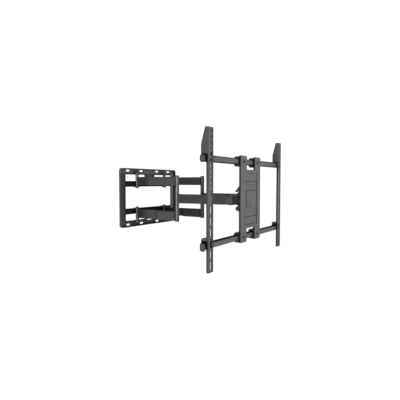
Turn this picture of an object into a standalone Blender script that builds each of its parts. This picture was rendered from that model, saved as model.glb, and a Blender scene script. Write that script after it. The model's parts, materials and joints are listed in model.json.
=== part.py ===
"""Full motion TV wall mount with two folding arm pairs, a swivel and tilt head and two TV rails.

Metres, +Z up, wall face in the plane Y = 0, room side towards -Y.  The origin is on the wall
face of the wall plate, on the centre line, and the mid height of the arms is at Z = MID_Z.
"""

import math

import bmesh
import bpy
from mathutils import Matrix, Vector

# ---- driving dimensions (metres) ----------------------------------------------------------
MID_Z = -0.120            # mid height of the arms
GAP = 0.0003              # space kept between touching pieces

PLATE_W = 0.512           # wall plate width
PLATE_H = 0.3435          # wall plate height
PLATE_T = 0.003           # sheet thickness
PLATE_RIM = 0.012         # rim depth in front of the sheet
PLATE_R = 0.016           # corner radius
SLOT_X = (-0.188, -0.0735, 0.0735, 0.188)
SLOT_Z = 0.158            # slot row above and below mid height
SLOT_LEN = 0.030
SLOT_HIGH = 0.011
WINDOW_IN = 0.042         # small windows start here from the centre line
WINDOW_OUT = 0.2135       # and every window ends here
SMALL_LOW = 0.0972
SMALL_HIGH = 0.1350
BIG_HIGH = 0.0635         # half height of the big window
WINDOW_RIM = 0.006        # rim depth around every window
RIM_T = 0.0022

PIVOT_X = 0.128           # wall pivots from the centre line
PIVOT_Y = -0.019
ELBOW_X = 0.128
ELBOW_Y = -0.3145
HEAD_X = 0.100            # head pivots from the centre line
HEAD_Y = -0.636
ARM_THICK = 0.018
ARM_WALL = 0.0025
FIRST_LOW = 0.0727        # first stage arms, from mid height
FIRST_HIGH = 0.1212
SECOND_HALF = 0.0250      # second stage arms, half height
PIN_R = 0.0055
BORE_R = 0.0058
OPEN_BORE_R = 0.0080      # clearance hole where the closed linkage is opened
WALL_KNUCKLE_R = 0.0093
POST_R = 0.0115
HEAD_KNUCKLE_R = 0.0125
POST_HALF = 0.1280
NECK_HALF = 0.0205        # half height of the second arms between the carriage plates
NECK_FROM = 0.0205        # the neck starts here from the head pivot
EAR_T = 0.004
EAR_IN = 0.0605           # the hinge ear nearer mid height
EAR_OUT = 0.1365          # the hinge ear nearer the plate's edge

TV_Y = -0.7002            # front face of the TV plate and rails
TV_T = 0.0025             # sheet thickness of the TV plate and rails
H_HALF_W = 0.1160
H_TOP = 0.2232
H_BOTTOM = -0.2150
NOTCH_X = 0.0488
NOTCH_TOP = 0.1548
NOTCH_BOTTOM = -0.1467
H_FLANGE = 0.0100
UPPER_TUBE_Z = 0.194
LOWER_TUBE_Z = -0.188
TUBE_HALF_L = 0.4265
TUBE_FRONT = 0.0115       # behind the TV face
TUBE_BACK = 0.0345
TUBE_HALF_H = 0.0155
TUBE_R = 0.0080
TUBE_WALL = 0.0020
CLAMP_BOLT_X = 0.0800

RAIL_X = 0.400            # half of the 800 mm hole spacing
RAIL_HALF_W = 0.0203
RAIL_TOP = 0.328
RAIL_BOTTOM = -0.3045
HOLE_FIRST = 0.016        # first hole below the top of the rail
HOLE_PITCH = 0.025
HOLE_COUNT = 12
HOLE_R = 0.0038
SLOT_FIRST = 0.359
SLOT_PITCH = 0.0488
SLOT_COUNT = 6
RAIL_SLOT_LEN = 0.034
RAIL_SLOT_R = 0.0036

SWIVEL_R = 0.0060
CARRIAGE_R = 0.0165
TILT_Y = TV_Y + 0.0150    # tilt axis

SIDES = (("left", -1), ("right", 1))
LEVELS = (("upper", 1), ("lower", -1))

COAT = (0.050, 0.051, 0.054)
COAT_DARK = (0.036, 0.037, 0.040)
PLASTIC = (0.028, 0.029, 0.031)
ZINC = (0.52, 0.53, 0.55)
STEEL_DARK = (0.09, 0.09, 0.095)

# ---- helpers ------------------------------------------------------------------------------


def material(obj, colour, rough, metal):
    mat = bpy.data.materials.new(obj.name + "_mat")
    mat.use_nodes = True
    shader = mat.node_tree.nodes["Principled BSDF"]
    shader.inputs["Base Color"].default_value = (*colour, 1)
    shader.inputs["Roughness"].default_value = rough
    shader.inputs["Metallic"].default_value = metal
    obj.data.materials.clear()
    obj.data.materials.append(mat)


def new_object(name, bm):
    bmesh.ops.recalc_face_normals(bm, faces=bm.faces)
    mesh = bpy.data.meshes.new(name)
    bm.to_mesh(mesh)
    bm.free()
    obj = bpy.data.objects.new(name, mesh)
    bpy.context.scene.collection.objects.link(obj)
    return obj


def prism(name, points, axis, low, high):
    """A straight prism: points are the two other coordinates, in X, Y, Z order."""
    def place(p, q):
        if axis == "X":
            return (q, p[0], p[1])
        if axis == "Y":
            return (p[0], q, p[1])
        return (p[0], p[1], q)

    bm = bmesh.new()
    near = [bm.verts.new(place(p, low)) for p in points]
    far = [bm.verts.new(place(p, high)) for p in points]
    bm.faces.new(near)
    bm.faces.new(list(reversed(far)))
    for i in range(len(points)):
        j = (i + 1) % len(points)
        bm.faces.new((near[i], far[i], far[j], near[j]))
    return new_object(name, bm)


def box(name, x0, x1, y0, y1, z0, z1):
    return prism(name, [(x0, y0), (x1, y0), (x1, y1), (x0, y1)], "Z", z0, z1)


def circle(cx, cy, r, n=24):
    turn = 2 * math.pi / n
    return [(cx + r * math.cos(turn * i), cy + r * math.sin(turn * i)) for i in range(n)]


def rounded(points, r, n=5):
    """The closed outline with each corner rounded by r (or by a list of radii)."""
    out = []
    count = len(points)
    for i, p in enumerate(points):
        radius = r[i] if isinstance(r, (list, tuple)) else r
        p = Vector(p)
        a = (Vector(points[i - 1]) - p).normalized()
        b = (Vector(points[(i + 1) % count]) - p).normalized()
        if radius <= 0:
            out.append(tuple(p))
            continue
        half = a.angle(b) / 2
        back = radius / math.tan(half)
        centre = p + (a + b).normalized() * (radius / math.sin(half))
        start = p + a * back - centre
        end = p + b * back - centre
        sweep = start.angle_signed(end)
        for k in range(n + 1):
            spin = Matrix.Rotation(-sweep * k / n, 2)
            out.append(tuple(centre + spin @ start))
    return out


def rectangle(x0, x1, z0, z1, r=0.0, n=5):
    return rounded([(x0, z0), (x1, z0), (x1, z1), (x0, z1)], r, n)


def stadium(cx, cz, length, width, upright=False, n=8):
    half = (length - width) / 2
    r = width / 2
    out = []
    for side in (1, -1):
        for k in range(n + 1):
            a = math.pi * k / n - side * math.pi / 2
            out.append((side * half + r * math.cos(a), r * math.sin(a)))
    if upright:
        out = [(-z, x) for x, z in out]
    return [(cx + x, cz + z) for x, z in out]


def inset(points, distance):
    """The closed anticlockwise outline moved inwards by distance, with mitred corners."""
    out = []
    count = len(points)
    for i, p in enumerate(points):
        p = Vector(p)
        before = (p - Vector(points[i - 1])).normalized()
        after = (Vector(points[(i + 1) % count]) - p).normalized()
        n1 = Vector((-before.y, before.x))
        n2 = Vector((-after.y, after.x))
        middle = (n1 + n2).normalized()
        out.append(tuple(p + middle * (distance / max(middle.dot(n1), 0.2))))
    return out


def combine(obj, others, operation):
    """Bake a union or a difference with the other objects, and remove them."""
    for other in others:
        mod = obj.modifiers.new("bool", "BOOLEAN")
        mod.operation = operation
        mod.solver = "EXACT"
        mod.object = other
        graph = bpy.context.evaluated_depsgraph_get()
        mesh = bpy.data.meshes.new_from_object(obj.evaluated_get(graph))
        obj.modifiers.clear()
        obj.data = mesh
        bpy.data.objects.remove(other, do_unlink=True)
    return obj


def cut(obj, *others):
    return combine(obj, others, "DIFFERENCE")


def join(obj, *others):
    return combine(obj, others, "UNION")


def one_cutter(prisms):
    """Several separate solids as one object, so that one boolean cuts them all."""
    first = prisms[0]
    bm = bmesh.new()
    for item in prisms:
        bm.from_mesh(item.data)
    bm.to_mesh(first.data)
    bm.free()
    for item in prisms[1:]:
        bpy.data.objects.remove(item, do_unlink=True)
    return first


def finish(obj, colour, rough, metal, origin=None, smooth=False):
    """Material, origin on the joint axis, welded corners and shading."""
    bm = bmesh.new()
    bm.from_mesh(obj.data)
    bmesh.ops.remove_doubles(bm, verts=bm.verts, dist=1e-6)
    bmesh.ops.dissolve_degenerate(bm, edges=bm.edges, dist=1e-6)
    bmesh.ops.recalc_face_normals(bm, faces=bm.faces)
    bm.to_mesh(obj.data)
    bm.free()
    lift = Vector((0, 0, MID_Z))
    where = Vector(origin if origin else (0, 0, 0)) + lift
    obj.data.transform(obj.matrix_basis)
    obj.matrix_basis = Matrix.Identity(4)
    obj.data.transform(Matrix.Translation(lift - where))
    obj.location = where
    material(obj, colour, rough, metal)
    if smooth:
        obj.data.shade_smooth()
        obj.data.set_sharp_from_angle(angle=math.radians(35))
    return obj


def turned(name, cx, cy, steps):
    """An upright pin: steps are (low z, high z, radius or an outline), joined into one solid."""
    solids = []
    for low, high, shape in steps:
        outline = circle(cx, cy, shape) if isinstance(shape, float) else shape
        solids.append(prism(name, outline, "Z", low, high))
    solids[0].name = name
    return join(solids[0], *solids[1:]) if len(solids) > 1 else solids[0]


def hexagon(cx, cy, across, spin=0.0):
    r = across / math.sqrt(3)
    turn = math.pi / 3
    return [(cx + r * math.cos(spin + turn * i), cy + r * math.sin(spin + turn * i)) for i in range(6)]


for old in list(bpy.data.objects):
    bpy.data.objects.remove(old, do_unlink=True)

# ---- wall plate -----------------------------------------------------------------------------
half_w = PLATE_W / 2
half_h = PLATE_H / 2
front = -PLATE_T - PLATE_RIM
outline = rectangle(-half_w, half_w, -half_h, half_h, PLATE_R, 6)
plate = prism("wall_plate", outline, "Y", front, 0)
hollow = prism("hollow", inset(outline, 0.0025), "Y", front - 0.01, -PLATE_T)
cut(plate, hollow)
windows = [(-WINDOW_OUT, WINDOW_OUT, -BIG_HIGH, BIG_HIGH)]
for level in (1, -1):
    low, high = sorted((level * SMALL_LOW, level * SMALL_HIGH))
    for side in (1, -1):
        windows.append((*sorted((side * WINDOW_IN, side * WINDOW_OUT)), low, high))
rims = []
for x0, x1, z0, z1 in windows:
    shape = rectangle(x0 - RIM_T, x1 + RIM_T, z0 - RIM_T, z1 + RIM_T, 0.006, 3)
    rims.append(prism("rim", shape, "Y", -PLATE_T - WINDOW_RIM, -PLATE_T + 0.001))
join(plate, one_cutter(rims))
# slots, windows, and gaps in the rims where the hinge ears stand
holes = [prism("hole", rectangle(-0.024, 0.024, -0.1440, -0.1392), "Y", -0.02, 0.01)]
for level in (1, -1):
    for x in SLOT_X:
        shape = stadium(x, level * SLOT_Z, SLOT_LEN, SLOT_HIGH)
        holes.append(prism("hole", shape, "Y", -0.02, 0.01))
for x0, x1, z0, z1 in windows:
    holes.append(prism("hole", rectangle(x0, x1, z0, z1, 0.004, 3), "Y", -0.02, 0.01))
cut(plate, one_cutter(holes))
gaps = []
for side in (1, -1):
    a, b = side * PIVOT_X - 0.0135, side * PIVOT_X + 0.0135
    for level in (1, -1):
        for near, far in ((BIG_HIGH - 0.006, SMALL_LOW - RIM_T - 0.004), (SMALL_HIGH - 0.003, 0.1600)):
            gaps.append(box("gap", a, b, -0.03, -PLATE_T, *sorted((level * near, level * far))))
cut(plate, one_cutter(gaps))
finish(plate, COAT, 0.55, 0.0)

# ---- hinge ears and pins on the wall plate -----------------------------------------------------
for side_name, side in SIDES:
    px = side * PIVOT_X
    for level_name, level in LEVELS:
        for place, z, tab in (("inner", EAR_IN, 0.022), ("outer", EAR_OUT, 0.022)):
            name = "hinge_ear_%s_%s_%s" % (side_name, level_name, place)
            tip = [(px + 0.0125 * math.cos(a), PIVOT_Y + 0.0125 * math.sin(a))
                   for a in [math.pi + math.pi * k / 12 for k in range(13)]]
            shape = tip + [(px + 0.0125, -PLATE_T - GAP), (px - 0.0125, -PLATE_T - GAP)]
            low, high = sorted((level * z, level * (z + EAR_T)))
            ear = prism(name, shape, "Z", low, high)
            low, high = sorted((level * z, level * (z + tab)))
            foot = box("foot", px - 0.0125, px + 0.0125, -PLATE_T - GAP - EAR_T, -PLATE_T - GAP, low, high)
            join(ear, foot)
            cut(ear, prism("hole", circle(px, PIVOT_Y, BORE_R), "Z", -0.2, 0.2))
            finish(ear, COAT, 0.5, 0.0, smooth=True)
        # pin head above, locking nut below
        if level > 0:
            base = 0.0545
            top = 0.1470
        else:
            base = -0.1470
            top = -0.0545
        steps = [
            (base + 0.001, top - 0.001, PIN_R - 0.0003),
            (top - 0.0057, top, 0.0085),
            (base, base + 0.0057, hexagon(px, PIVOT_Y, 0.0150)),
        ]
        pin = turned("wall_pin_%s_%s" % (side_name, level_name), px, PIVOT_Y, steps)
        finish(pin, STEEL_DARK, 0.35, 0.6, origin=(px, PIVOT_Y, level * 0.1), smooth=True)

# ---- arms ---------------------------------------------------------------------------------------


def arm(name, start, end, body_z, start_z, end_z, r_start, r_end, bore_start, bore_end, neck=0.0):
    """A channel open below between two upright knuckles, each with its own low and high z."""
    along = Vector((end[0] - start[0], end[1] - start[1]))
    length = along.length
    t = ARM_THICK / 2
    low, high = body_z
    stop = length - (neck if neck else 0.75 * r_end)
    body = box(name, 0.75 * r_start, stop, -t, t, low, high)
    inner = t - ARM_WALL
    cut(body, box("inner", -0.05, length + 0.05, -inner, inner, low - 0.01, high - ARM_WALL))
    if neck:
        join(body, box("neck", stop - 0.004, length - 0.75 * r_end, -t + 0.0005, t - 0.0005, *end_z))
    join(body, prism("knuckle", circle(0, 0, r_start), "Z", *start_z))
    join(body, prism("knuckle", circle(length, 0, r_end), "Z", *end_z))
    cut(body, prism("bore", circle(0, 0, bore_start), "Z", -0.2, 0.2))
    cut(body, prism("bore", circle(length, 0, bore_end), "Z", -0.2, 0.2))
    turn = Matrix.Rotation(math.atan2(along.y, along.x), 4, "Z")
    body.data.transform(Matrix.Translation((start[0], start[1], 0)) @ turn)
    return body


for side_name, side in SIDES:
    wall = (side * PIVOT_X, PIVOT_Y)
    elbow = (side * ELBOW_X, ELBOW_Y)
    head = (side * HEAD_X, HEAD_Y)
    for level_name, level in LEVELS:
        span = sorted((level * FIRST_LOW, level * FIRST_HIGH))
        barrel = sorted((level * (EAR_IN + EAR_T + GAP), level * (EAR_OUT - GAP)))
        first = arm("arm_first_%s_%s" % (side_name, level_name), wall, elbow, span, barrel, span,
                    WALL_KNUCKLE_R, POST_R, BORE_R, BORE_R)
        finish(first, COAT, 0.5, 0.0, origin=(*wall, 0), smooth=True)
        # spacer between the knuckles on the elbow post
        low, high = sorted((level * (SECOND_HALF + GAP), level * (FIRST_LOW - GAP)))
        sleeve_name = "elbow_sleeve_%s_%s" % (side_name, level_name)
        sleeve = prism(sleeve_name, circle(*elbow, POST_R), "Z", low, high)
        cut(sleeve, prism("bore", circle(*elbow, BORE_R), "Z", -0.2, 0.2))
        finish(sleeve, COAT_DARK, 0.4, 0.0, origin=(*elbow, 0), smooth=True)
    steps = [
        (-POST_HALF + 0.001, POST_HALF - 0.001, PIN_R - 0.0003),
        (-POST_HALF, -FIRST_HIGH - GAP, POST_R),
        (FIRST_HIGH + GAP, POST_HALF, POST_R),
    ]
    pin = turned("elbow_pin_%s" % side_name, *elbow, steps)
    finish(pin, COAT_DARK, 0.35, 0.2, origin=(*elbow, 0), smooth=True)
    loose = BORE_R if side < 0 else OPEN_BORE_R
    span = (-SECOND_HALF, SECOND_HALF)
    second = arm("arm_second_%s" % side_name, elbow, head, span, span, (-NECK_HALF, NECK_HALF),
                 POST_R, HEAD_KNUCKLE_R, BORE_R, loose, neck=NECK_FROM)
    finish(second, COAT_DARK, 0.5, 0.0, origin=(*elbow, 0), smooth=True)

# cable covers clipped over the lower first stage arms from below
COVER_FROM = 0.525
COVER_TO = 0.95
for side_name, side in SIDES:
    wall = Vector((side * PIVOT_X, PIVOT_Y))
    elbow = Vector((side * ELBOW_X, ELBOW_Y))
    along = elbow - wall
    length = along.length
    t = ARM_THICK / 2
    low = -FIRST_HIGH
    high = -FIRST_LOW
    a = length * COVER_FROM
    b = length * COVER_TO
    cover = box("cable_cover_%s" % side_name, a, b, -t - 0.0019, t + 0.0019, low - 0.0022, high - 0.0030)
    cut(cover, box("inner", a - 0.01, b + 0.01, -t - GAP, t + GAP, low - GAP, high + 0.01))
    turn = Matrix.Rotation(math.atan2(along.y, along.x), 4, "Z")
    cover.data.transform(Matrix.Translation((wall.x, wall.y, 0)) @ turn)
    finish(cover, PLASTIC, 0.6, 0.0, origin=(wall.x, wall.y, 0))

# ---- head: carriage, pins, swivel yoke -------------------------------------------------------------


def hull(circles, n=24):
    """The outline around circles given as (x, y, r), anticlockwise."""
    points = []
    for cx, cy, r in circles:
        points += circle(cx, cy, r, n)
    points = sorted(set(points))

    def half(items):
        chain = []
        for p in items:
            while len(chain) > 1:
                o, q = chain[-2], chain[-1]
                if (q[0] - o[0]) * (p[1] - o[1]) - (q[1] - o[1]) * (p[0] - o[0]) > 1e-12:
                    break
                chain.pop()
            chain.append(p)
        return chain[:-1]

    return half(points) + half(list(reversed(points)))


CAR_LOW = 0.0212
CAR_HIGH = SECOND_HALF
shape = hull([(-HEAD_X, HEAD_Y, CARRIAGE_R), (HEAD_X, HEAD_Y, CARRIAGE_R)])
carriage = prism("head_carriage", circle(0, HEAD_Y, 0.024, 40), "Z", -CAR_LOW - 0.001, CAR_LOW + 0.001)
join(carriage, prism("top", shape, "Z", CAR_LOW, CAR_HIGH), prism("base", shape, "Z", -CAR_HIGH, -CAR_LOW))
web_end = HEAD_X + 0.0080
web_low = -CAR_LOW - 0.001
join(carriage, box("web", -web_end, web_end, HEAD_Y - 0.0165, HEAD_Y - 0.0135, web_low, -web_low))
bores = [prism("bore", circle(0, HEAD_Y, SWIVEL_R + GAP), "Z", -0.1, 0.1)]
for side in (-1, 1):
    bores.append(prism("bore", circle(side * HEAD_X, HEAD_Y, BORE_R), "Z", -0.1, 0.1))
cut(carriage, one_cutter(bores))
finish(carriage, COAT_DARK, 0.5, 0.0, origin=(-HEAD_X, HEAD_Y, 0), smooth=True)

for side_name, side in SIDES:
    hx = side * HEAD_X
    steps = [
        (-CAR_HIGH - 0.001, CAR_HIGH + 0.001, PIN_R - 0.0003),
        (CAR_HIGH + GAP, CAR_HIGH + 0.0014, 0.0080),
        (-CAR_HIGH - 0.0014, -CAR_HIGH - GAP, 0.0080),
    ]
    pin = turned("head_pin_%s" % side_name, hx, HEAD_Y, steps)
    finish(pin, STEEL_DARK, 0.35, 0.6, origin=(hx, HEAD_Y, 0), smooth=True)

EAR_LOW = 0.0275
EAR_HIGH = 0.0315
WEB_BACK = HEAD_Y - 0.039
WEB_FRONT = HEAD_Y - 0.043
WEB_HALF = 0.045
foot_x = WEB_HALF - 0.001
foot_y = WEB_BACK - 0.002
ear_shape = hull([(0, HEAD_Y, 0.018), (-foot_x, foot_y, 0.001), (foot_x, foot_y, 0.001)])
yoke = box("swivel_yoke", -WEB_HALF, WEB_HALF, WEB_FRONT, WEB_BACK, -EAR_HIGH, EAR_HIGH)
join(yoke, prism("top", ear_shape, "Z", EAR_LOW, EAR_HIGH))
join(yoke, prism("base", ear_shape, "Z", -EAR_HIGH, -EAR_LOW))
for side in (-1, 1):
    shape = [(WEB_BACK - 0.001, -0.020), (WEB_BACK - 0.001, 0.020)]
    shape += [(TILT_Y + 0.0065 * math.cos(a), 0.0065 * math.sin(a))
              for a in [math.radians(60 + 240 * k / 12) for k in range(13)]]
    a, b = sorted((side * (WEB_HALF - 0.004), side * WEB_HALF))
    join(yoke, prism("cheek", shape, "X", a, b))
cut(yoke, prism("bore", circle(0, HEAD_Y, SWIVEL_R + GAP), "Z", -0.1, 0.1))
cut(yoke, prism("bore", circle(TILT_Y, 0, 0.0033), "X", -0.2, 0.2))
finish(yoke, COAT, 0.5, 0.0, origin=(0, HEAD_Y, 0), smooth=True)

steps = [
    (-EAR_HIGH - 0.008, EAR_HIGH + 0.004, SWIVEL_R),
    (EAR_HIGH + GAP, EAR_HIGH + 0.0050, 0.0110),
    (-EAR_HIGH - 0.0070, -EAR_HIGH - GAP, hexagon(0, HEAD_Y, 0.0190)),
]
pin = turned("swivel_pin", 0, HEAD_Y, steps)
finish(pin, STEEL_DARK, 0.35, 0.6, origin=(0, HEAD_Y, 0), smooth=True)
for level_name, level in LEVELS:
    low, high = sorted((level * (CAR_HIGH + GAP), level * (EAR_LOW - GAP)))
    washer = prism("swivel_washer_%s" % level_name, circle(0, HEAD_Y, 0.016), "Z", low, high)
    cut(washer, prism("bore", circle(0, HEAD_Y, SWIVEL_R + GAP), "Z", -0.1, 0.1))
    finish(washer, PLASTIC, 0.4, 0.0, origin=(0, HEAD_Y, 0), smooth=True)

# ---- tilt frame --------------------------------------------------------------------------------------
FRAME_HALF_W = 0.0885
LOBE_BACK = -0.6535
KNOB_Y = -0.6746
KNOB_Z = -0.0427
FRAME_BACK = TV_Y + 0.0065
FRAME_FRONT = TV_Y + TV_T + 0.0008
frame = box("tilt_frame", -FRAME_HALF_W, FRAME_HALF_W, FRAME_FRONT, FRAME_BACK, -0.062, 0.068)
for side in (-1, 1):
    # inner cheek on the tilt bolt
    shape = [(FRAME_BACK - 0.001, -0.022)]
    shape += [(TILT_Y + 0.0075 * math.cos(a), 0.0075 * math.sin(a))
              for a in [math.radians(-75 + 150 * k / 10) for k in range(11)]]
    shape += [(FRAME_BACK - 0.001, 0.022)]
    a, b = sorted((side * (WEB_HALF + 0.0005), side * (WEB_HALF + 0.0035)))
    join(frame, prism("cheek", shape, "X", a, b))
    # outer lobes above and below the arms
    a, b = sorted((side * (FRAME_HALF_W - 0.003), side * FRAME_HALF_W))
    upper = [(FRAME_BACK - 0.001, 0.0405), (LOBE_BACK, 0.0405), (LOBE_BACK, 0.0445),
             (FRAME_BACK + 0.0202, 0.068), (FRAME_BACK - 0.001, 0.068)]
    lower = [(FRAME_BACK - 0.001, -0.0340), (FRAME_BACK - 0.001, -0.062), (FRAME_BACK + 0.0160, -0.062),
             (KNOB_Y + 0.0086, -0.0510), (KNOB_Y + 0.0086, -0.0340)]
    join(frame, prism("lobe", upper, "X", a, b), prism("lobe", lower, "X", a, b))
cut(frame, prism("bore", circle(TILT_Y, 0, 0.0033), "X", -0.2, 0.2))
cut(frame, prism("bore", circle(KNOB_Y, KNOB_Z, 0.0033), "X", -0.2, 0.2))
finish(frame, COAT, 0.5, 0.0, origin=(0, TILT_Y, 0))


def lying(name, cy, cz, steps):
    """A pin along X: steps are (low x, high x, outline in Y and Z)."""
    solids = [prism(name, shape, "X", low, high) for low, high, shape in steps]
    solids[0].name = name
    return join(solids[0], *solids[1:]) if len(solids) > 1 else solids[0]


def mirrored(side, low, high):
    return sorted((side * low, side * high))


for side_name, side in SIDES:
    outer = WEB_HALF + 0.0035 + GAP
    steps = [
        (*mirrored(side, 0.0345, outer + 0.002), circle(TILT_Y, 0, 0.0030, 24)),
        (*mirrored(side, outer, outer + 0.0042), hexagon(TILT_Y, 0, 0.0100)),
        (*mirrored(side, 0.0345, WEB_HALF - 0.004 - GAP), hexagon(TILT_Y, 0, 0.0100)),
    ]
    bolt = lying("tilt_bolt_%s" % side_name, TILT_Y, 0, steps)
    finish(bolt, STEEL_DARK, 0.35, 0.6, origin=(side * WEB_HALF, TILT_Y, 0), smooth=True)
    lobes = []
    for k in range(32):
        a = 2 * math.pi * k / 32
        r = 0.0106 + 0.0006 * math.cos(8 * a)
        lobes.append((KNOB_Y + r * math.cos(a), KNOB_Z + r * math.sin(a)))
    steps = [
        (*mirrored(side, FRAME_HALF_W - 0.012, FRAME_HALF_W + 0.002), circle(KNOB_Y, KNOB_Z, 0.0030, 24)),
        (*mirrored(side, FRAME_HALF_W + GAP, FRAME_HALF_W + 0.0155), lobes),
    ]
    knob = lying("tilt_knob_%s" % side_name, KNOB_Y, KNOB_Z, steps)
    finish(knob, PLASTIC, 0.5, 0.0, origin=(side * FRAME_HALF_W, KNOB_Y, KNOB_Z), smooth=True)

# ---- TV plate ----------------------------------------------------------------------------------------
corners = [
    (-H_HALF_W, H_BOTTOM), (-NOTCH_X, H_BOTTOM), (-NOTCH_X, NOTCH_BOTTOM), (NOTCH_X, NOTCH_BOTTOM),
    (NOTCH_X, H_BOTTOM), (H_HALF_W, H_BOTTOM), (H_HALF_W, H_TOP), (NOTCH_X, H_TOP),
    (NOTCH_X, NOTCH_TOP), (-NOTCH_X, NOTCH_TOP), (-NOTCH_X, H_TOP), (-H_HALF_W, H_TOP),
]
outline = rounded(corners, 0.0038, 3)
plate = prism("tv_plate", outline, "Y", TV_Y, TV_Y + H_FLANGE)
cut(plate, prism("hollow", inset(outline, TV_T), "Y", TV_Y + TV_T, TV_Y + 0.05))
# pressed field with a raised pad
field = box("field", -0.0740, 0.0740, TV_Y - 0.01, TV_Y + 0.0010, -0.127, 0.0943)
cut(field, box("pad", -0.0525, 0.0525, TV_Y - 0.02, TV_Y + 0.02, -0.041, 0.0477))
cut(plate, field)
cut(plate, box("crease", -0.0740, 0.0740, TV_Y - 0.01, TV_Y + 0.0015, -0.0885, -0.0865))
bolt_holes = []
for z in (UPPER_TUBE_Z, LOWER_TUBE_Z):
    for side in (-1, 1):
        shape = circle(side * CLAMP_BOLT_X, z, 0.0034, 24)
        bolt_holes.append(prism("hole", shape, "Y", TV_Y - 0.01, TV_Y + 0.006))
cut(plate, one_cutter(bolt_holes))
finish(plate, COAT, 0.5, 0.0, origin=(0, TILT_Y, 0))

# ---- tubes, end caps, clamps ---------------------------------------------------------------------------
for level_name, z in (("upper", UPPER_TUBE_Z), ("lower", LOWER_TUBE_Z)):
    y0 = TV_Y + TUBE_FRONT
    y1 = TV_Y + TUBE_BACK
    shape = rectangle(y0, y1, z - TUBE_HALF_H, z + TUBE_HALF_H, TUBE_R, 5)
    tube = prism("tube_%s" % level_name, shape, "X", -TUBE_HALF_L, TUBE_HALF_L)
    cut(tube, prism("inner", inset(shape, TUBE_WALL), "X", -0.5, 0.5))
    holes = []
    for side in (-1, 1):
        shape = circle(side * CLAMP_BOLT_X, z, 0.0034, 24)
        holes.append(prism("hole", shape, "Y", y0 - 0.01, y1 + 0.01))
    cut(tube, one_cutter(holes))
    finish(tube, COAT, 0.5, 0.0, origin=(0, TILT_Y, 0), smooth=True)
    for side_name, side in SIDES:
        # end cap: flange with a dished face and a boss outside, plug inside
        grow = 0.0014
        drop = 0.0045 if level_name == "lower" else 0.0
        reach = TUBE_HALF_H + grow
        flange = rectangle(y0 - grow, y1 + grow, z - reach - drop, z + reach, 0.0105, 5)
        shrink = TUBE_WALL + GAP
        reach = TUBE_HALF_H - shrink
        plug = rectangle(y0 + shrink, y1 - shrink, z - reach, z + reach, 0.0055, 3)
        steps = [
            (*mirrored(side, TUBE_HALF_L + GAP, TUBE_HALF_L + 0.0065), flange),
            (*mirrored(side, TUBE_HALF_L - 0.0120, TUBE_HALF_L + 0.0010), plug),
        ]
        cap = lying("end_cap_%s_%s" % (side_name, level_name), 0, z, steps)
        cut(cap, prism("dish", inset(flange, 0.0032), "X", *mirrored(side, TUBE_HALF_L + 0.0048, 0.5)))
        boss = circle((y0 + y1) / 2, z - drop / 2, 0.0042, 16)
        join(cap, prism("boss", boss, "X", *mirrored(side, TUBE_HALF_L + 0.0040, TUBE_HALF_L + 0.0062)))
        finish(cap, PLASTIC, 0.5, 0.0, origin=(side * TUBE_HALF_L, y0, z))
        # saddle clamp behind the ear
        c0 = TV_Y + H_FLANGE + 0.0010
        c1 = y1 + GAP
        c2 = TV_Y + 0.0400
        hi = 0.0255
        ch = 0.0065
        lo = TUBE_HALF_H + GAP
        shape = [
            (c0, z - hi), (c2 - ch, z - hi), (c2, z - hi + ch), (c2, z + hi - ch), (c2 - ch, z + hi),
            (c0, z + hi), (c0, z + lo), (c1, z + lo), (c1, z - lo), (c0, z - lo),
        ]
        clamp = prism("tube_clamp_%s_%s" % (side_name, level_name), shape, "X",
                      *mirrored(side, 0.0515, 0.1135))
        hole = prism("hole", circle(side * CLAMP_BOLT_X, z, 0.0034, 24), "Y", c0, c2 + 0.01)
        cut(clamp, hole)
        finish(clamp, COAT_DARK, 0.5, 0.0, origin=(side * CLAMP_BOLT_X, c2, z))
        # clamp bolt, hex socket head in front, nut behind
        bx = side * CLAMP_BOLT_X
        bolt = prism("clamp_bolt_%s_%s" % (side_name, level_name), circle(bx, z, 0.0030, 24), "Y",
                     TV_Y - 0.003, c2 + 0.0055)
        join(bolt, prism("head", circle(bx, z, 0.0065, 24), "Y", TV_Y - 0.0045, TV_Y - GAP))
        join(bolt, prism("nut", hexagon(bx, z, 0.0100), "Y", c2 + GAP, c2 + 0.0050))
        cut(bolt, prism("socket", hexagon(bx, z, 0.0050), "Y", TV_Y - 0.01, TV_Y - 0.0020))
        finish(bolt, STEEL_DARK, 0.35, 0.6, origin=(bx, TV_Y, z), smooth=True)

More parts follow.
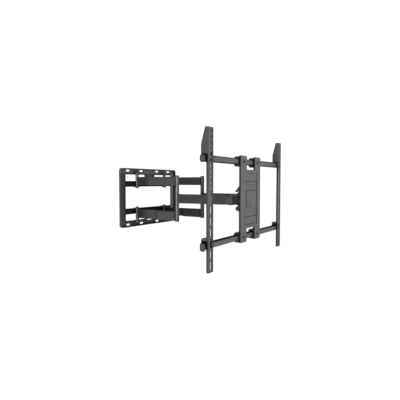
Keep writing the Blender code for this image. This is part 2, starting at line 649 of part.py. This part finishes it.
# ---- TV rails and latches --------------------------------------------------------------------------------
for side_name, side in SIDES:
    rx = side * RAIL_X
    tube_top = UPPER_TUBE_Z + TUBE_HALF_H
    back = TV_Y + TUBE_BACK
    # the flanges follow the rounded front corner of the upper tube
    corner_y = TV_Y + TUBE_FRONT + TUBE_R
    corner_z = tube_top - TUBE_R
    bend = [(corner_y - (TUBE_R + GAP) * math.cos(a), corner_z + (TUBE_R + GAP) * math.sin(a))
            for a in [math.radians(90 * k / 6) for k in range(7)]]
    profile = [
        (TV_Y, RAIL_BOTTOM), (TV_Y + 0.0110, RAIL_BOTTOM), (TV_Y + 0.0110, corner_z),
        *bend[1:],
        (back + GAP, tube_top + GAP), (back + GAP, 0.1990), (back + 0.0036, 0.1990),
        (back + 0.0036, 0.2535), (TV_Y + 0.0180, RAIL_TOP), (TV_Y, RAIL_TOP),
    ]
    rail = prism("rail_%s" % side_name, profile, "X", rx - RAIL_HALF_W, rx + RAIL_HALF_W)
    cut(rail, box("inner", rx - RAIL_HALF_W + TV_T, rx + RAIL_HALF_W - TV_T, TV_Y + TV_T, TV_Y + 0.1,
                  RAIL_BOTTOM - 0.01, RAIL_TOP - TV_T))
    holes = []
    for i in range(HOLE_COUNT):
        z = RAIL_TOP - HOLE_FIRST - HOLE_PITCH * i
        holes.append(prism("hole", circle(rx, z, HOLE_R, 24), "Y", TV_Y - 0.01, TV_Y + 0.006))
    for i in range(SLOT_COUNT):
        z = RAIL_TOP - SLOT_FIRST - SLOT_PITCH * i
        shape = stadium(rx, z, RAIL_SLOT_LEN, 2 * RAIL_SLOT_R, upright=True)
        holes.append(prism("hole", shape, "Y", TV_Y - 0.01, TV_Y + 0.006))
    cut(rail, one_cutter(holes))
    finish(rail, COAT, 0.5, 0.0, origin=(rx, TV_Y, 0))
    # latch over the lower tube, with a lip behind it
    top = LOWER_TUBE_Z + TUBE_HALF_H
    profile = [
        (TV_Y + 0.0116, top + 0.0005), (back + 0.0005, top + 0.0005), (back + 0.0005, top - 0.0170),
        (back + 0.0050, top - 0.0170), (back + 0.0050, top + 0.0150), (back + 0.0025, top + 0.0180),
        (back - 0.0030, top + 0.0180), (back - 0.0030, top + 0.0155), (back - 0.0100, top + 0.0155),
        (back - 0.0100, top + 0.0180), (TV_Y + 0.0116, top + 0.0180),
    ]
    latch = prism("latch_%s" % side_name, profile, "X", rx - 0.0165, rx + 0.0165)
    finish(latch, PLASTIC, 0.5, 0.0, origin=(rx, back, top))
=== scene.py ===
"""Looks for the full motion TV wall mount: finer pieces, materials, light and camera.

Lengths are in metres. At rest an object's own coordinates are the same as world coordinates.
"""

import json
import math

import bmesh
import bpy
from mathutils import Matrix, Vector


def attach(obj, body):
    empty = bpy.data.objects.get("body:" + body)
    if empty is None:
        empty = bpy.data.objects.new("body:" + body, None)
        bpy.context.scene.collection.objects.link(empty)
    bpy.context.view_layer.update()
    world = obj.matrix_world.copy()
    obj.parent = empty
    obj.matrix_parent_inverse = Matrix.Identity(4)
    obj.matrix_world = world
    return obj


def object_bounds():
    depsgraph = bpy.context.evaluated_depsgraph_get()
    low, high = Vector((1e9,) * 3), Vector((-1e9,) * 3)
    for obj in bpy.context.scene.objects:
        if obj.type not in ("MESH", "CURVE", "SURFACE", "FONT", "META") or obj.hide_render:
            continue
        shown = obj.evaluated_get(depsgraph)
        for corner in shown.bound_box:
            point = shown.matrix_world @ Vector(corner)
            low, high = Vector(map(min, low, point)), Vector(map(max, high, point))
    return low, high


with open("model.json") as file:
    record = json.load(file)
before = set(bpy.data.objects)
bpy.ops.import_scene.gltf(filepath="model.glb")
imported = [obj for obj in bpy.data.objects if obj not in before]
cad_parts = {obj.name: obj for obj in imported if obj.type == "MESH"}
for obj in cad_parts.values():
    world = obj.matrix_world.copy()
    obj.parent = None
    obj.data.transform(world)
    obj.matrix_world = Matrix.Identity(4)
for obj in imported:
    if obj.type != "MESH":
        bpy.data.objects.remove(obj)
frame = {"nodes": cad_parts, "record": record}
cad_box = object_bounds()
nodes = frame["nodes"]
slot_of = {s["node"]: s["material_slot"] for s in frame["record"]["subparts"]}

# ---- places -------------------------------------------------------------------------------------

MID = -0.120              # world height of the arms' middle
TV = -0.7002              # front plane of the TV plate and rails
RAIL_X = (-0.4, 0.4)      # middles of the two rails
PIVOT = (0.128, -0.019)   # wall hinge of the right side
ELBOW = (0.128, -0.3145)  # elbow post of the right side
SIDES = (("left", -1), ("right", 1))
LEVELS = (("upper", 1), ("lower", -1))

# ---- coats --------------------------------------------------------------------------------------

GRAIN_DEPTH = 0.00012     # height of the coat's orange-peel grain
EDGE = 0.0008             # radius of rounded edges
MOTTLE = 0.12             # how far the colour drifts to either side


def add(tree, kind, values=None, **settings):
    """A new shader node with the given input values and settings."""
    node = tree.nodes.new("ShaderNode" + kind)
    for name, value in settings.items():
        setattr(node, name, value)
    for socket, value in (values or {}).items():
        node.inputs[socket].default_value = value
    return node


def ramp(tree, source, low, high, first, last):
    """A blend from the first colour to the last as the source goes from low to high."""
    node = add(tree, "ValToRGB")
    for element, position, shade in zip(node.color_ramp.elements, (low, high), (first, last)):
        element.position = position
        element.color = (*shade, 1) if isinstance(shade, tuple) else (shade, shade, shade, 1)
    tree.links.new(source, node.inputs["Fac"])
    return node.outputs["Color"]


def product(tree, a, b):
    """The product of two outputs."""
    node = add(tree, "Math", operation="MULTIPLY")
    tree.links.new(a, node.inputs[0])
    tree.links.new(b, node.inputs[1])
    return node.outputs["Value"]


def noise(tree, place, scale, detail, rough=0.5):
    """Noise in the object's own coordinates."""
    node = add(tree, "TexNoise", {"Scale": scale, "Detail": detail, "Roughness": rough})
    tree.links.new(place.outputs["Object"], node.inputs["Vector"])
    return node.outputs["Fac"]


def rounding(tree, radius, samples):
    """The normal rounded over a radius, and how well it agrees with the true one."""
    bevel = add(tree, "Bevel", {"Radius": radius}, samples=samples)
    true = add(tree, "NewGeometry")
    dot = add(tree, "VectorMath", operation="DOT_PRODUCT")
    tree.links.new(bevel.outputs["Normal"], dot.inputs[0])
    tree.links.new(true.outputs["Normal"], dot.inputs[1])
    return bevel.outputs["Normal"], dot.outputs["Value"]


def box_factor(tree, place, factor, corner_a, corner_b, fade):
    """An output that is the factor inside a box and 1 outside, with a short fade: a box of painted
    shade or painted light.
    """
    split = add(tree, "SeparateXYZ")
    tree.links.new(place.outputs["Object"], split.inputs["Vector"])
    inside = None
    for axis in range(3):
        for edge_at, way in ((corner_a[axis], 1), (corner_b[axis], -1)):
            rise = add(tree, "MapRange", {"From Min": edge_at - way * fade, "From Max": edge_at})
            tree.links.new(split.outputs[axis], rise.inputs["Value"])
            rise = rise.outputs["Result"]
            inside = product(tree, inside, rise) if inside else rise
    level = add(tree, "MapRange", {"To Min": 1.0, "To Max": factor})
    tree.links.new(inside, level.inputs["Value"])
    return level.outputs["Result"]


def coat(name, colour, rough=0.5, metallic=0.0, grain=1400.0, wear=0.35, specular=0.4,
         painted_shade_reach=0.03, edge_shade=0.6, edge_shade_width=0.0034, painted_light_zones=()):
    """Powder coat: fine orange-peel grain, slow colour drift, paler rubbed edges, painted shade in
    hollows.

    Along every edge the colour is darkened by painted shade, by the edge shade factor over the edge
    shade width, with a paler worn line on the edge.
    Hollows narrower than about the painted shade reach get painted shade. The zones, as zone()
    gives, are boxes of painted shade or painted light.
    """
    mat = bpy.data.materials.new(name)
    mat.use_nodes = True
    tree = mat.node_tree
    shader = tree.nodes["Principled BSDF"]
    shader.inputs["Metallic"].default_value = metallic
    shader.inputs["Specular IOR Level"].default_value = specular
    place = add(tree, "TexCoord")
    fine = noise(tree, place, grain, 2.0)
    slow = noise(tree, place, 14.0, 5.0, 0.6)
    scuff = noise(tree, place, 90.0, 6.0)
    # worn edges, where the rounded normal leaves the true one
    soft_normal, agrees = rounding(tree, EDGE, 6)
    worn = product(tree, ramp(tree, agrees, 0.80, 0.995, 1.0, 0.0),
                   ramp(tree, scuff, 0.42, 0.68, 0.15, 1.0))
    amount = add(tree, "Math", {1: wear}, operation="MULTIPLY")
    tree.links.new(worn, amount.inputs[0])
    # colour
    dark = tuple(c * (1 - MOTTLE) for c in colour)
    light = tuple(c * (1 + MOTTLE) for c in colour)
    rubbed = tuple(min(1.0, c * 2.6 + 0.03) for c in colour)
    mix = add(tree, "Mix", data_type="RGBA")
    mix.inputs["B"].default_value = (*rubbed, 1)
    tree.links.new(amount.outputs["Value"], mix.inputs["Factor"])
    tree.links.new(ramp(tree, slow, 0.35, 0.65, dark, light), mix.inputs["A"])
    # painted shade in hollows and along edges, and painted shade or painted light in the zones
    painted_shade_ao = add(tree, "AmbientOcclusion", {"Distance": painted_shade_reach}, samples=8)
    shade = ramp(tree, painted_shade_ao.outputs["AO"], 0.25, 0.95, 0.06, 1.0)
    agrees = rounding(tree, edge_shade_width, 8)[1]
    shade = product(tree, shade, ramp(tree, agrees, 0.80, 0.998, edge_shade, 1.0))
    for spec in painted_light_zones:
        shade = product(tree, shade, box_factor(tree, place, *spec))
    painted_shade_colour = add(tree, "VectorMath", operation="SCALE")
    tree.links.new(mix.outputs["Result"], painted_shade_colour.inputs[0])
    tree.links.new(shade, painted_shade_colour.inputs["Scale"])
    tree.links.new(painted_shade_colour.outputs["Vector"], shader.inputs["Base Color"])
    # deep painted shade takes the specular sheen away as well
    painted_shade_specular = add(tree, "MapRange", {"From Max": 0.8, "To Max": specular})
    tree.links.new(shade, painted_shade_specular.inputs["Value"])
    tree.links.new(painted_shade_specular.outputs["Result"], shader.inputs["Specular IOR Level"])
    tree.links.new(ramp(tree, scuff, 0.3, 0.7, rough - 0.07, rough + 0.07),
                   shader.inputs["Roughness"])
    # grain over the rounded normal
    bump = add(tree, "Bump", {"Strength": 0.6, "Distance": GRAIN_DEPTH})
    tree.links.new(fine, bump.inputs["Height"])
    tree.links.new(soft_normal, bump.inputs["Normal"])
    tree.links.new(bump.outputs["Normal"], shader.inputs["Normal"])
    return mat


def zone(factor, x, y, z, fade=0.001):
    """A box of painted shade (factor below 1) or painted light (above 1) in a coat: spans in x, in y
    and in z above the arms' middle.
    """
    return (factor, (x[0], y[0], MID + z[0]), (x[1], y[1], MID + z[1]), fade)


ALL = (-0.6, 0.6)                  # a span that leaves nothing out
RIGHT = (0.02, 0.3)                # arms and post of the right side, further from the light
ABOVE_MID = (0.0, 0.2)
BELOW_MID = (-0.2, 0.0)
SHEET = (-0.02, -0.0025)           # front of the wall plate
TV_DEPTH = (-0.75, -0.60)          # everything on the TV frame
RAIL_DEPTH = (-0.72, -0.60)        # whole rail
RAIL_SIDES = (-0.6965, -0.60)      # rail flanges and wings, behind the front
FIELD = (TV - 0.01, TV + 0.003)    # front of the TV plate
BELOW_WING = (-0.35, 0.2095)

# painted shade on the two hinge webs and beside the right column; painted light on the top band and
# on the right column's strip
WALL_PAINTED_SHADE_AND_LIGHT = [
    *[zone(0.25, (-0.211, 0.211), (-0.02, -0.003), z, 0.003)
      for z in ((0.064, 0.096), (-0.096, -0.064))],
    zone(2.0, ALL, SHEET, (0.145, 0.2), 0.002),
    zone(3.2, (0.2135, 0.2440), SHEET, (-0.1, 0.14), 0.002),
    zone(0.5, (0.2460, 0.3), (-0.02, 0.01), (-0.1, 0.16), 0.002),
]
# painted shade on the first arms near the wall hinges, on the right arms and on the second arms;
# painted light on the second arms' ends at the head
ARM_PAINTED_SHADE_AND_LIGHT = [
    zone(0.50, ALL, (-0.085, -0.036), ABOVE_MID, 0.045),
    zone(0.36, ALL, (-0.055, -0.024), BELOW_MID, 0.075),
    zone(0.68, RIGHT, (-0.33, 0.0), (-0.2, 0.2), 0.002),
    zone(0.60, RIGHT, (-0.30, 0.0), (-0.2, -0.05), 0.002),
    zone(0.60, ALL, (-0.72, -0.330), (-0.2, 0.2), 0.003),
    zone(1.7, ALL, (-0.72, -0.6150), (-0.2, 0.2), 0.002),
]
# painted shade on the right elbow post
POST_PAINTED_SHADE = [zone(0.45, RIGHT, (-0.4, -0.2), ALL)]
# painted shade on the right cable cover and in the seam where the cover starts
COVER_PAINTED_SHADE = [zone(0.55, RIGHT, ALL, ALL), zone(0.15, ALL, (-0.1790, -0.1745), (-0.3, 0.3))]
# painted light on the head carriage's front web, seen in the gap beside the arm ends
HEAD_PAINTED_LIGHT = [zone(7.0, (-0.092, 0.092), (-0.66, -0.6515), ALL, 0.0004)]
# painted shade along the tubes' top and bottom edges and on their ends behind the rails
TUBE_PAINTED_SHADE = [
    zone(0.35, ALL, TV_DEPTH, (0.2035, 0.25)),
    zone(0.05, ALL, TV_DEPTH, (0.17, 0.1825)),
    zone(0.04, ALL, TV_DEPTH, (-0.1775, -0.15)),
    zone(0.60, ALL, TV_DEPTH, (-0.22, -0.1990)),
    *[zone(0.35, x, TV_DEPTH, ALL) for x in ((-0.43, -0.3800), (0.3800, 0.43))],
]
# painted shade along the caps' top and bottom edges, between caps and rails, over the caps and in
# two rings round them; painted highlight on the caps' bosses
TRIM_PAINTED_SHADE_AND_LIGHT = [
    zone(0.15, ALL, TV_DEPTH, (0.2075, 0.25)),
    zone(0.30, ALL, TV_DEPTH, (0.17, 0.1800)),
    zone(0.15, ALL, TV_DEPTH, (-0.1740, -0.1640)),
    zone(0.30, ALL, TV_DEPTH, (-0.25, -0.2060)),
    *[zone(0.10, x, TV_DEPTH, z) for x in ((-0.4300, -0.4180), (0.4180, 0.4300))
      for z in ((0.17, 0.25), (-0.25, -0.1660))],
    *[zone(0.70, x, TV_DEPTH, ALL) for x in ((-0.45, -0.4200), (0.4200, 0.45))],
    *[zone(0.80, ALL, (TV + y, TV + y + 0.0035), ALL) for y in (0.0120, 0.0300)],
    *[zone(1.4, ALL, (TV + 0.017, TV + 0.029), (z - 0.006, z + 0.006)) for z in (0.194, -0.188)],
]
# painted shade on each rail's right strip, on the flanges and wings, beside the left caps and at the
# holes; painted light on a strip of the right rail's front
RAIL_PAINTED_SHADE_AND_LIGHT = [
    *[zone(0.50, (x + 0.0070, x + 0.0204), RAIL_DEPTH, ALL, 0.002) for x in RAIL_X],
    zone(0.55, ALL, RAIL_SIDES, BELOW_WING, 0.002),
    zone(0.75, ALL, RAIL_SIDES, (0.2095, 0.4), 0.002),
    zone(0.28, (0.2, 0.6), RAIL_SIDES, BELOW_WING, 0.002),
    zone(2.1, (0.3810, 0.3935), (-0.72, -0.6975), (-0.16, 0.15), 0.002),
    # painted shade at the holes and slot with a tube behind them
    *[zone(0.10, (x - 0.0058, x + 0.0058), RAIL_DEPTH, z) for x in RAIL_X
      for z in ((0.206, 0.218), (0.181, 0.193), (-0.196, -0.158))],
    *[zone(0.20, (-0.44, -0.4180), RAIL_SIDES, z) for z in ((0.174, 0.212), (-0.208, -0.166))],
]
# painted shade on the plate's flanges and along the creases
PLATE_PAINTED_SHADE = [
    zone(0.20, ALL, (TV + 0.003, TV + 0.02), ALL, 0.002),
    # painted shade along the creases of the pressed field and the pad
    zone(0.30, (0.0690, 0.0742), FIELD, (-0.127, 0.150)),
    *[zone(0.45, (-0.0740, 0.0740), FIELD, z)
      for z in ((0.0928, 0.0958), (-0.0895, -0.0860), (-0.1285, -0.1255))],
    zone(0.25, (-0.0555, -0.0515), FIELD, (-0.041, 0.0477)),
    zone(0.55, (-0.0525, 0.0525), FIELD, (0.0462, 0.0492)),
    zone(0.60, (-0.0450, 0.0450), FIELD, (0.1352, 0.1385)),
]

COATS = {
    "wall_plate_coat": dict(colour=(0.021, 0.0215, 0.023), rough=0.55, specular=0.12, painted_shade_reach=0.04,
                            painted_light_zones=WALL_PAINTED_SHADE_AND_LIGHT),
    "bracket_coat": dict(colour=(0.022, 0.0225, 0.024), specular=0.14),
    "arm_coat": dict(colour=(0.023, 0.0235, 0.025), rough=0.55, specular=0.12, painted_light_zones=ARM_PAINTED_SHADE_AND_LIGHT),
    "post_coat": dict(colour=(0.009, 0.0093, 0.010), rough=0.34, wear=0.15, edge_shade=1.0,
                      painted_light_zones=POST_PAINTED_SHADE),
    "tv_plate_coat": dict(colour=(0.036, 0.0365, 0.039), rough=0.55, specular=0.16, painted_shade_reach=0.02,
                          edge_shade=0.5, painted_light_zones=PLATE_PAINTED_SHADE),
    "tube_coat": dict(colour=(0.031, 0.0315, 0.033), rough=0.45, specular=0.18, edge_shade=0.5,
                      edge_shade_width=0.005, painted_light_zones=TUBE_PAINTED_SHADE),
    "rail_coat": dict(colour=(0.030, 0.0305, 0.032), rough=0.55, specular=0.14, painted_shade_reach=0.02,
                      edge_shade=0.45, edge_shade_width=0.004, painted_light_zones=RAIL_PAINTED_SHADE_AND_LIGHT),
    "fastener_steel": dict(colour=(0.02, 0.02, 0.021), rough=0.36, metallic=0.6, grain=700,
                           wear=0.6),
    "cover_plastic": dict(colour=(0.026, 0.0265, 0.028), rough=0.55, specular=0.12, grain=900,
                          wear=0.1, painted_light_zones=COVER_PAINTED_SHADE),
    "washer_plastic": dict(colour=(0.008, 0.008, 0.009), specular=0.18, grain=900, wear=0.1),
    "trim_plastic": dict(colour=(0.034, 0.0345, 0.036), rough=0.45, specular=0.25, grain=900,
                         wear=0.12, edge_shade=0.5, edge_shade_width=0.004, painted_light_zones=TRIM_PAINTED_SHADE_AND_LIGHT),
    # a copy of the bracket coat with less painted hollow shade and painted light on the carriage's
    # front web
    "head_coat_painted_light": dict(colour=(0.024, 0.0245, 0.026), specular=0.14, painted_shade_reach=0.004,
                      painted_light_zones=HEAD_PAINTED_LIGHT),
}
MATS = {name: coat(name, **look) for name, look in COATS.items()}
# nodes that wear another coat than their slot's; the head carriage's coat carries painted light
OWN_COAT = {
    "head_carriage": "head_coat_painted_light",
    "tilt_knob_left": "washer_plastic",
    "tilt_knob_right": "washer_plastic",
}


def dress(obj, mat_name):
    obj.data.materials.clear()
    obj.data.materials.append(MATS[mat_name])


for name, obj in nodes.items():
    dress(obj, OWN_COAT.get(name, slot_of[name]))

# ---- finer pieces -------------------------------------------------------------------------------


def new_object(name, bm):
    """An object in the scene from a bmesh, which is freed."""
    mesh = bpy.data.meshes.new(name)
    bm.to_mesh(mesh)
    bm.free()
    obj = bpy.data.objects.new(name, mesh)
    bpy.context.scene.collection.objects.link(obj)
    return obj


def lathe(profile, centre, n=48):
    """A closed ring about Z from (radius, height above the arms' middle) points."""
    bm = bmesh.new()
    turns = [2 * math.pi * k / n for k in range(n)]
    rings = [[bm.verts.new((centre[0] + r * math.cos(turn), centre[1] + r * math.sin(turn), MID + z))
              for turn in turns] for r, z in profile]
    for a, b in zip(rings, rings[1:] + rings[:1]):
        for k in range(n):
            m = (k + 1) % n
            bm.faces.new((a[k], a[m], b[m], b[k]))
    bmesh.ops.recalc_face_normals(bm, faces=bm.faces)
    return bm


def band(name, centre, low, high, r_in, r_out, body, chamfer=0.0006):
    """A thin sleeve with chamfered ends round a knuckle, riding on a body."""
    profile = [(r_in, low), (r_out - chamfer, low), (r_out, low + chamfer), (r_out, high - chamfer),
               (r_out - chamfer, high), (r_in, high)]
    obj = new_object(name, lathe(profile, centre))
    obj.data.shade_smooth()
    obj.data.set_sharp_from_angle(angle=math.radians(35))
    dress(obj, "post_coat")
    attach(obj, body)


for side_name, side in SIDES:
    wall = (side * PIVOT[0], PIVOT[1])
    elbow = (side * ELBOW[0], ELBOW[1])
    first = "first_%s" % side_name
    for level_name, level in LEVELS:
        tag = "%s_%s" % (side_name, level_name)
        low, high = sorted((level * 0.0652, level * 0.1358))
        band("barrel_band_%s" % tag, wall, low, high, 0.0088, 0.0096, first)
        low, high = sorted((level * 0.0730, level * 0.1209))
        band("knuckle_band_%s" % tag, elbow, low, high, 0.0110, 0.0118, first)
    band("knuckle_band_%s_middle" % side_name, elbow, -0.0247, 0.0247, 0.0110, 0.0118,
         "second_%s" % side_name)

# ---- floor, light, camera -----------------------------------------------------------------------

FLOOR_DROP = 1.1          # below the lowest point of the mount, which hangs on a wall
FLOOR_HALF = 60
FLOOR_WHITE = 0.97
WORLD_STRENGTH = 1.05
IMAGE_WIDTH = 400
SENSOR = 36.0

floor_z = cad_box[0].z - FLOOR_DROP
bm = bmesh.new()
bm.faces.new([bm.verts.new((x * FLOOR_HALF, y * FLOOR_HALF, floor_z))
              for x, y in ((-1, -1), (1, -1), (1, 1), (-1, 1))])
floor = new_object("floor", bm)
mat = bpy.data.materials.new("floor")
mat.use_nodes = True
shader = mat.node_tree.nodes["Principled BSDF"]
shader.inputs["Base Color"].default_value = (FLOOR_WHITE, FLOOR_WHITE, FLOOR_WHITE, 1)
shader.inputs["Roughness"].default_value = 0.9
floor.data.materials.append(mat)

world = bpy.data.worlds.new("studio")
bpy.context.scene.world = world
world.use_nodes = True
background = world.node_tree.nodes["Background"]
background.inputs["Color"].default_value = (1, 1, 1, 1)
background.inputs["Strength"].default_value = WORLD_STRENGTH


def area(name, where, at, width, height, power):
    """A rectangular lamp at a place, pointed at another."""
    data = bpy.data.lights.new(name, "AREA")
    data.shape = "RECTANGLE"
    data.size = width
    data.size_y = height
    data.energy = power
    obj = bpy.data.objects.new(name, data)
    obj.location = where
    obj.rotation_mode = "QUATERNION"
    obj.rotation_quaternion = (Vector(at) - Vector(where)).to_track_quat("-Z", "Y")
    bpy.context.scene.collection.objects.link(obj)


area("front", (-0.35, -2.25, 0.35), (0.05, -0.6, -0.12), 1.0, 1.0, 62)
area("side", (-3.0, -0.75, -0.04), (0, -0.3, -0.12), 0.9, 1.6, 120)

CAMERA_AT = (-1.7612, -1.5361, -0.0285)
YAW = 56.757              # degrees to the right of +Y
PITCH = 2.79              # degrees downwards
LENS_PX = 369.5           # focal length, on the scale where the image is 400 wide
data = bpy.data.cameras.new("camera")
data.sensor_width = SENSOR
data.lens = LENS_PX / IMAGE_WIDTH * SENSOR
data.clip_start = 0.05
data.clip_end = 100
camera = bpy.data.objects.new("camera", data)
camera.location = CAMERA_AT
camera.rotation_euler = (math.radians(90 - PITCH), 0, -math.radians(YAW))
bpy.context.scene.collection.objects.link(camera)
bpy.context.scene.camera = camera
bpy.context.scene.view_settings.view_transform = "Standard"
